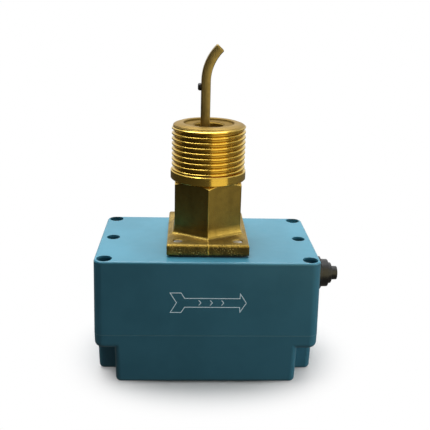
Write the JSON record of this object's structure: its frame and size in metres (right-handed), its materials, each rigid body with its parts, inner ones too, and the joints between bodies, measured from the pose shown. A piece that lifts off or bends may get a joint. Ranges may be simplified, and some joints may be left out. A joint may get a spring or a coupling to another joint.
{
  "type": "paddle flow switch",
  "caption": "Paddle flow switch: moulded case, forged threaded pipe fitting, bellows-sealed lever, adjustable microswitch.",
  "frame": {"origin": "on the pipe thread's axis, in the plane of the cover's outer face, on which the switch stands", "axes": "+Z along the pipe thread, away from the case; +X in the direction of flow; +Y towards the deeper side of the case"},
  "size_m": [0.1135, 0.0632, 0.1483],
  "materials": {
    "housing_plastic": "satin moulded, teal blue",
    "forged_brass": "forged, thread machined",
    "lever_bronze": "drawn bar, dull brown",
    "black_rubber": "moulded, matt",
    "gasket_rubber": "sheet rubber, matt",
    "zinc_steel": "zinc plated",
    "black_steel": "black oxide",
    "bellows_bronze": "drawn thin wall",
    "spring_steel": "drawn wire",
    "switch_black": "phenolic, matt",
    "plunger_red": "moulded",
    "insulator_paper": "pressed sheet",
    "terminal_brass": "stamped, tinned"
  },
  "bodies": {
    "housing": {"enclosure_base": "housing_plastic", "enclosure_cover": "housing_plastic", "cover_gasket": "gasket_rubber", "threaded_inserts": "terminal_brass", "cover_screws": "zinc_steel", "pipe_fitting": "forged_brass", "flange_gasket": "gasket_rubber", "flange_screws": "zinc_steel", "seal_plate": "forged_brass", "seal_ring": "black_rubber", "bellows": "bellows_bronze", "mechanism_frame": "zinc_steel", "pivot_pin": "zinc_steel", "pivot_clips": "black_steel", "switch_body": "switch_black", "switch_screws": "zinc_steel", "switch_insulator": "insulator_paper", "terminal_common": "terminal_brass", "terminal_normally_open": "terminal_brass", "terminal_normally_closed": "terminal_brass", "terminal_screws": "zinc_steel", "ground_washer": "zinc_steel", "ground_screw": "zinc_steel", "range_spring": "spring_steel", "cable_grommet": "black_rubber"},
    "lever": {"lever_rod": "lever_bronze", "paddle_screw": "black_steel", "rocker": "forged_brass", "rocker_set_screw": "black_steel", "bellows_cap": "forged_brass"},
    "plunger": {"switch_plunger": "plunger_red"},
    "range_screw": {"range_screw": "zinc_steel", "range_screw_clip": "black_steel"},
    "nut": {"spring_nut": "terminal_brass"}
  },
  "joints": [
    {"name": "lever_swing", "type": "hinge", "parent": "housing", "child": "lever", "pos_m": [-0.00175, 0, 0.045], "axis": [0, 1, 0], "range_deg": [0, 4.5], "stiffness_Nm_per_rad": 0.6, "springref_deg": -14.32, "deforming": ["bellows", "range_spring"]},
    {"name": "plunger_travel", "type": "slide", "parent": "housing", "child": "plunger", "axis": [0, 0, 1], "range_m": [0, 0.0011]},
    {"name": "range_screw_turn", "type": "hinge", "parent": "housing", "child": "range_screw", "pos_m": [0.01625, 0, 0.0222], "axis": [0, 0, 1], "range_deg": [-1080, 1080]},
    {"name": "spring_nut_travel", "type": "slide", "parent": "housing", "child": "nut", "axis": [0, 0, 1], "range_m": [-0.0021, 0.0021], "deforming": ["range_spring"]}
  ],
  "couplings": [
    {"joint": "plunger_travel", "follows": "lever_swing", "m_per_rad": 0.014},
    {"joint": "range_screw_turn", "follows": "spring_nut_travel", "rad_per_m": -8976}
  ]
}
